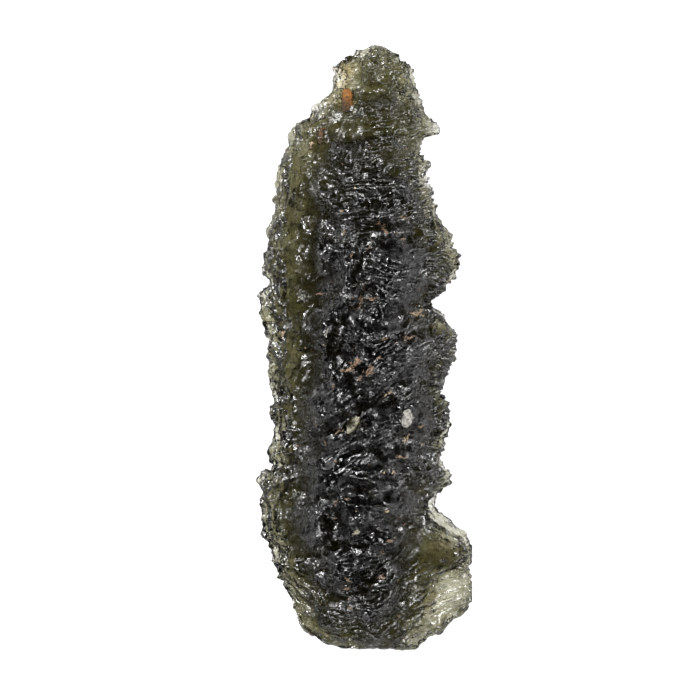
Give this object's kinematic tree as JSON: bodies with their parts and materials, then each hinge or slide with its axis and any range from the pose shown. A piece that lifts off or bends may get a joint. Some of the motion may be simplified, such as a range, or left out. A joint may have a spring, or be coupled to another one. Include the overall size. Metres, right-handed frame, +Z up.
{
  "type": "moldavite",
  "caption": "Raw moldavite: a long narrow piece of bottle-green natural glass, deeply etched, lying on its broad side.",
  "frame": {"origin": "on the surface that the stone rests on, under the middle of its bounding box", "axes": "+Y along the stone towards the pointed tip, +X to the right as seen from above, +Z up"},
  "size_m": [0.0162, 0.0456, 0.0095],
  "materials": {
    "green_glass": "etched, rough, deep bottle green"
  },
  "bodies": {
    "root": {"moldavite": "green_glass"}
  },
  "joints": []
}
